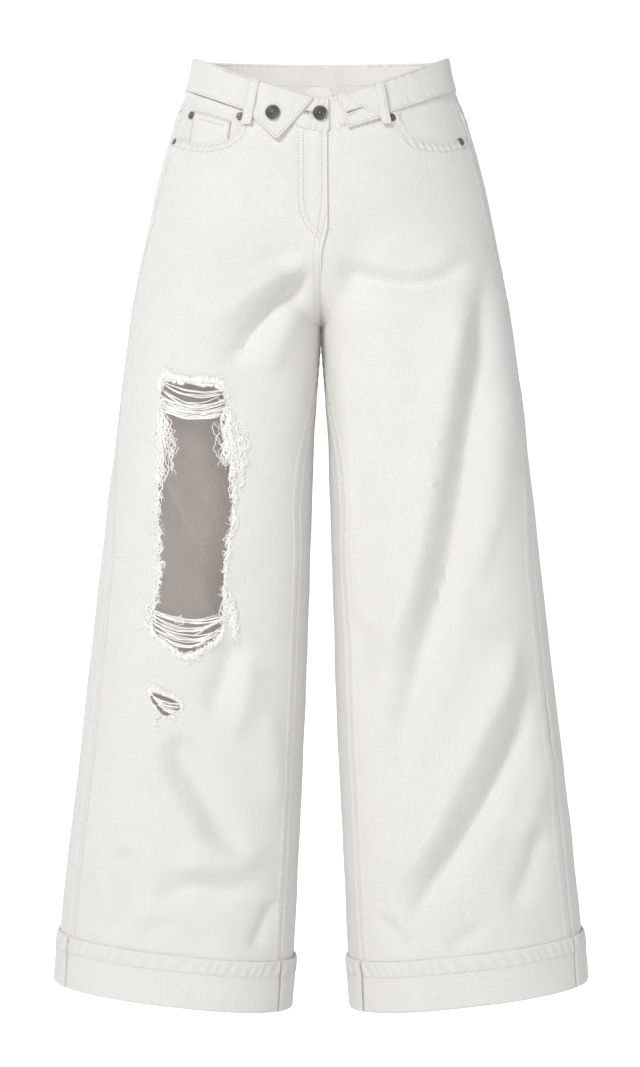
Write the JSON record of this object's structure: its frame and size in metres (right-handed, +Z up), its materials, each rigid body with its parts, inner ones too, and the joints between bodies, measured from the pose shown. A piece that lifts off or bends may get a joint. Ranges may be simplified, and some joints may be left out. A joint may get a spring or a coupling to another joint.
{
  "type": "ripped jeans",
  "caption": "High-rise wide-leg denim jeans with a long frayed knee rip, turned-up hems and a folded waist tab, open and filled out as if worn.",
  "frame": {"origin": "the middle of the waist opening, half way up the waistband at the sides", "axes": "+Z up through the waist, the front of the jeans faces -Y, +X is the wearer's left"},
  "size_m": [0.5956, 0.2282, 1.0714],
  "materials": {
    "denim": "undyed off-white twill, matt, with raised seams and same-colour topstitching",
    "metal": "antiqued dark zinc, brushed on the high rings"
  },
  "bodies": {
    "root": {"front_right": "denim", "front_left": "denim", "back_right": "denim", "back_left": "denim", "yoke_right": "denim", "yoke_left": "denim", "waistband_right": "denim", "waistband_left": "denim", "facing_right": "denim", "facing_left": "denim", "coin_pocket": "denim", "fly_shield": "denim", "tab_right": "denim", "tab_left": "denim", "loop_front_right": "denim", "loop_front_left": "denim", "loop_back_right": "denim", "loop_back_left": "denim", "loop_back_centre": "denim", "back_pocket_right": "denim", "back_pocket_left": "denim", "turnup_right": "denim", "turnup_left": "denim", "button_waist": "metal", "button_flap": "metal", "rivet_1": "metal", "rivet_2": "metal", "rivet_3": "metal", "rivet_4": "metal", "rivet_5": "metal"}
  },
  "joints": []
}
